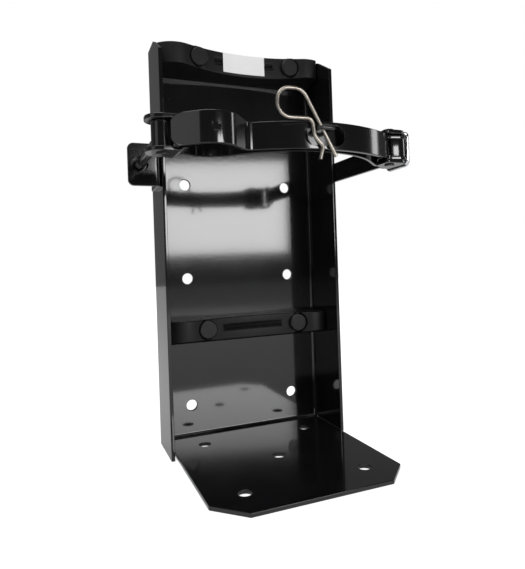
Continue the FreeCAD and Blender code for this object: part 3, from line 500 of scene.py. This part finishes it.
def knuckle_web():
    """The lever's face carried on between its ears, from the strap's end towards the claws."""
    pivot = Vector(LEVER_PIVOT)
    first, bend, last = (Vector(point) for point in KNUCKLE_CURVE)
    shape = bmesh.new()
    rows = []
    for step in range(KNUCKLE_STEPS + 1):
        part = step / KNUCKLE_STEPS
        front = first * (1 - part) ** 2 + bend * 2 * part * (1 - part) + last * part ** 2
        along = ((bend - first) * (1 - part) + (last - bend) * part).normalized()
        rear = front + Vector((-along.y, along.x)) * KNUCKLE_THICK
        row = []
        for spot, rise in ((front, -1), (front, 1), (rear, 1), (rear, -1)):
            place = pivot + spot
            row.append(shape.verts.new((place.x, place.y, CLAMP_LEVEL + rise * KNUCKLE_REACH)))
        rows.append(row)
    for one, two in zip(rows[:-1], rows[1:]):
        for index in range(4):
            after = (index + 1) % 4
            shape.faces.new((one[index], one[after], two[after], two[index]))
    shape.faces.new(rows[0][::-1])
    shape.faces.new(rows[-1])
    bmesh.ops.recalc_face_normals(shape, faces=shape.faces)
    mesh = bpy.data.meshes.new("lever_knuckle_web")
    shape.to_mesh(mesh)
    shape.free()
    skin = skin_of(mesh)
    return rounded(link_mesh("lever_knuckle_web", mesh, clamp_paint), KNUCKLE_ROUND, skin)


settle(knuckle_web(), "latch_lever", replace=False)


def thread_tree():
    """Geometry Nodes: a helical ridge for a screw thread."""
    tree = bpy.data.node_groups.new("thread_ridge", "GeometryNodeTree")
    tree.interface.new_socket("Turns", in_out="INPUT", socket_type="NodeSocketFloat")
    tree.interface.new_socket("Radius", in_out="INPUT", socket_type="NodeSocketFloat")
    tree.interface.new_socket("Length", in_out="INPUT", socket_type="NodeSocketFloat")
    tree.interface.new_socket("Ridge", in_out="INPUT", socket_type="NodeSocketFloat")
    tree.interface.new_socket("Finish", in_out="INPUT", socket_type="NodeSocketMaterial")
    tree.interface.new_socket("Geometry", in_out="OUTPUT", socket_type="NodeSocketGeometry")
    start = tree.nodes.new("NodeGroupInput")
    end = tree.nodes.new("NodeGroupOutput")
    spiral = node_of(tree, "GeometryNodeCurveSpiral")
    spiral.inputs["Resolution"].default_value = 20
    tree.links.new(start.outputs["Turns"], spiral.inputs["Rotations"])
    tree.links.new(start.outputs["Radius"], spiral.inputs["Start Radius"])
    tree.links.new(start.outputs["Radius"], spiral.inputs["End Radius"])
    tree.links.new(start.outputs["Length"], spiral.inputs["Height"])
    profile = node_of(tree, "GeometryNodeCurvePrimitiveCircle")
    profile.inputs["Resolution"].default_value = 6
    tree.links.new(start.outputs["Ridge"], profile.inputs["Radius"])
    sweep = node_of(tree, "GeometryNodeCurveToMesh")
    sweep.inputs["Fill Caps"].default_value = True
    tree.links.new(spiral.outputs["Curve"], sweep.inputs["Curve"])
    tree.links.new(profile.outputs["Curve"], sweep.inputs["Profile Curve"])
    realize = tree.nodes.new("GeometryNodeRealizeInstances")
    tree.links.new(sweep.outputs["Mesh"], realize.inputs["Geometry"])
    coat = tree.nodes.new("GeometryNodeSetMaterial")
    tree.links.new(realize.outputs["Geometry"], coat.inputs["Geometry"])
    tree.links.new(start.outputs["Finish"], coat.inputs["Material"])
    tree.links.new(coat.outputs["Geometry"], end.inputs["Geometry"])
    return tree


def grown(name, tree, values, finish, placing):
    """A piece grown by a Geometry Nodes tree, then made a plain mesh in its place."""
    obj = link_mesh(name, bpy.data.meshes.new(name), finish)
    live = obj.modifiers.new("grow", "NODES")
    live.node_group = tree
    inputs = [item for item in tree.interface.items_tree if item.in_out == "INPUT"]
    sockets = {item.name: item.identifier for item in inputs}
    for label, value in values.items():
        live[sockets[label]] = value
    live_to_plain(obj)
    obj.data.transform(placing)
    for face in obj.data.polygons:
        face.use_smooth = True
    return obj


THREAD_PITCH = 0.00127
THREAD_RADIUS = 0.00305
THREAD_RIDGE = 0.00036
THREAD_LEAD = 0.009
THREAD_END_GAP = 0.0006
bolt_low, bolt_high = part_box("eye_bolt")
ear_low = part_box("ear_bracket")[0]
bolt_axis = Vector(((bolt_low.x + bolt_high.x) / 2, 0.0, (bolt_low.z + bolt_high.z) / 2))
thread_start = ear_low.y - THREAD_LEAD
thread_length = bolt_high.y - THREAD_END_GAP - thread_start
thread_turn = Matrix.Rotation(-math.pi / 2, 4, "X")
thread_place = Matrix.Translation((bolt_axis.x, thread_start, bolt_axis.z)) @ thread_turn
thread = grown(
    "eye_bolt_thread",
    thread_tree(),
    {
        "Turns": thread_length / THREAD_PITCH,
        "Radius": THREAD_RADIUS,
        "Length": thread_length,
        "Ridge": THREAD_RIDGE,
        "Finish": hardware_black,
    },
    hardware_black,
    thread_place,
)
settle(thread, "eye_bolt", replace=False)


# Stage, light and camera

def flat_piece(name, corners, finish):
    """One flat face through the given corners."""
    mesh = bpy.data.meshes.new(name)
    mesh.from_pydata(corners, [], [tuple(range(len(corners)))])
    return link_mesh(name, mesh, finish)


def floor_material():
    """White floor that keeps the shadow: lit, and a little brighter where it is seen."""
    made, tree, shader = blank_material("white_floor")
    shader.inputs["Base Color"].default_value = (0.62, 0.62, 0.62, 1.0)
    shader.inputs["Roughness"].default_value = 0.9
    shader.inputs["Specular IOR Level"].default_value = 0.1
    path = tree.nodes.new("ShaderNodeLightPath")
    shader.inputs["Emission Color"].default_value = (1.0, 1.0, 1.0, 1.0)
    distance = node_of(tree, "ShaderNodeVectorMath")
    distance.operation = "LENGTH"
    tree.links.new(tree.nodes.new("ShaderNodeTexCoord").outputs["Object"], distance.inputs[0])
    far = node_of(tree, "ShaderNodeMapRange")
    far.interpolation_type = "SMOOTHSTEP"
    far.inputs["From Min"].default_value = 0.35
    far.inputs["From Max"].default_value = 1.0
    far.inputs["To Min"].default_value = 0.76
    far.inputs["To Max"].default_value = 1.0
    tree.links.new(distance.outputs["Value"], far.inputs["Value"])
    seen = math_node(tree, "MULTIPLY", path.outputs["Is Camera Ray"], far.outputs["Result"])
    mirrored = math_node(tree, "MULTIPLY", path.outputs["Is Glossy Ray"], 0.12)
    seen = math_node(tree, "MAXIMUM", seen, mirrored)
    seen = math_node(tree, "MAXIMUM", seen, path.outputs["Is Transmission Ray"])
    tree.links.new(seen, shader.inputs["Emission Strength"])
    return made


FLOOR_REACH = 3.0
FLOOR_LEVEL = -0.0003
floor = flat_piece(
    "studio_floor",
    [
        (-FLOOR_REACH, -FLOOR_REACH, FLOOR_LEVEL),
        (FLOOR_REACH, -FLOOR_REACH, FLOOR_LEVEL),
        (FLOOR_REACH, FLOOR_REACH, FLOOR_LEVEL),
        (-FLOOR_REACH, FLOOR_REACH, FLOOR_LEVEL),
    ],
    floor_material(),
)

def studio_world():
    """White to the camera, dim in mirrors and a little lighter behind the object."""
    world = bpy.data.worlds.new("studio")
    scene.world = world
    world.use_nodes = True
    sky = world.node_tree
    sky.nodes.clear()
    out = sky.nodes.new("ShaderNodeOutputWorld")
    back = sky.nodes.new("ShaderNodeBackground")
    back.inputs["Color"].default_value = (1.0, 1.0, 1.0, 1.0)
    path = sky.nodes.new("ShaderNodeLightPath")
    way = sky.nodes.new("ShaderNodeTexCoord").outputs["Generated"]
    axes = sky.nodes.new("ShaderNodeSeparateXYZ")
    sky.links.new(way, axes.inputs["Vector"])
    behind = node_of(sky, "ShaderNodeMapRange")
    behind.interpolation_type = "SMOOTHSTEP"
    behind.inputs["From Min"].default_value = -0.25
    behind.inputs["From Max"].default_value = 0.35
    behind.inputs["To Min"].default_value = 0.05
    behind.inputs["To Max"].default_value = 0.125
    sky.links.new(axes.outputs["Y"], behind.inputs["Value"])
    clear = math_node(sky, "MAXIMUM", path.outputs["Is Camera Ray"], path.outputs["Is Transmission Ray"])
    mirrored = math_node(sky, "MULTIPLY", path.outputs["Is Glossy Ray"], behind.outputs["Result"])
    spread = math_node(sky, "MULTIPLY", path.outputs["Is Diffuse Ray"], 0.5)
    glow = math_node(sky, "MAXIMUM", mirrored, spread)
    sky.links.new(math_node(sky, "MAXIMUM", clear, glow), back.inputs["Strength"])
    sky.links.new(back.outputs["Background"], out.inputs["Surface"])


studio_world()


def softbox(name, place, target, wide, high, power):
    """Area lamp that faces a point."""
    lamp = bpy.data.lights.new(name, "AREA")
    lamp.shape = "RECTANGLE"
    lamp.size = wide
    lamp.size_y = high
    lamp.energy = power
    obj = bpy.data.objects.new(name, lamp)
    scene.collection.objects.link(obj)
    obj.location = place
    obj.rotation_euler = (Vector(target) - Vector(place)).to_track_quat("-Z", "Y").to_euler()
    return obj


MIDDLE = (0.0, -0.07, 0.15)
softbox("top_softbox", (-0.25, -0.35, 1.15), MIDDLE, 0.9, 0.9, 6.0)
softbox("front_panel", (0.34, -1.15, 0.315), (0.0, 0.0, 0.2), 0.42, 0.29, 4.0)
softbox("side_panel", (1.1, -0.35, 0.45), MIDDLE, 0.16, 0.4, 0.8)
softbox("left_panel", (-1.0, -0.45, 0.5), MIDDLE, 0.5, 0.8, 0.8)

YAW = math.radians(22.53)
PITCH = math.radians(-0.15)
ROLL = math.radians(1.94)
CAMERA_PLACE = (-0.1388, -0.4066, 0.1388)


def fitted_camera():
    """The camera that was fitted to the straight edges of the object."""
    level = math.cos(PITCH)
    forward = Vector((math.sin(YAW) * level, math.cos(YAW) * level, -math.sin(PITCH)))
    right = Vector((math.cos(YAW), -math.sin(YAW), 0.0))
    down = forward.cross(right)
    right_rolled = right * math.cos(ROLL) + down * math.sin(ROLL)
    down_rolled = down * math.cos(ROLL) - right * math.sin(ROLL)
    data = bpy.data.cameras.new("camera")
    data.sensor_fit = "HORIZONTAL"
    data.sensor_width = 36.0
    data.lens = 34.9
    data.shift_x = -0.0158
    data.shift_y = -0.0451
    data.clip_start = 0.01
    obj = bpy.data.objects.new("camera", data)
    scene.collection.objects.link(obj)
    turn = Matrix((right_rolled, -down_rolled, -forward)).transposed()
    obj.matrix_world = Matrix.Translation(CAMERA_PLACE) @ turn.to_4x4()
    return obj


scene.camera = fitted_camera()
scene.view_settings.view_transform = "Standard"
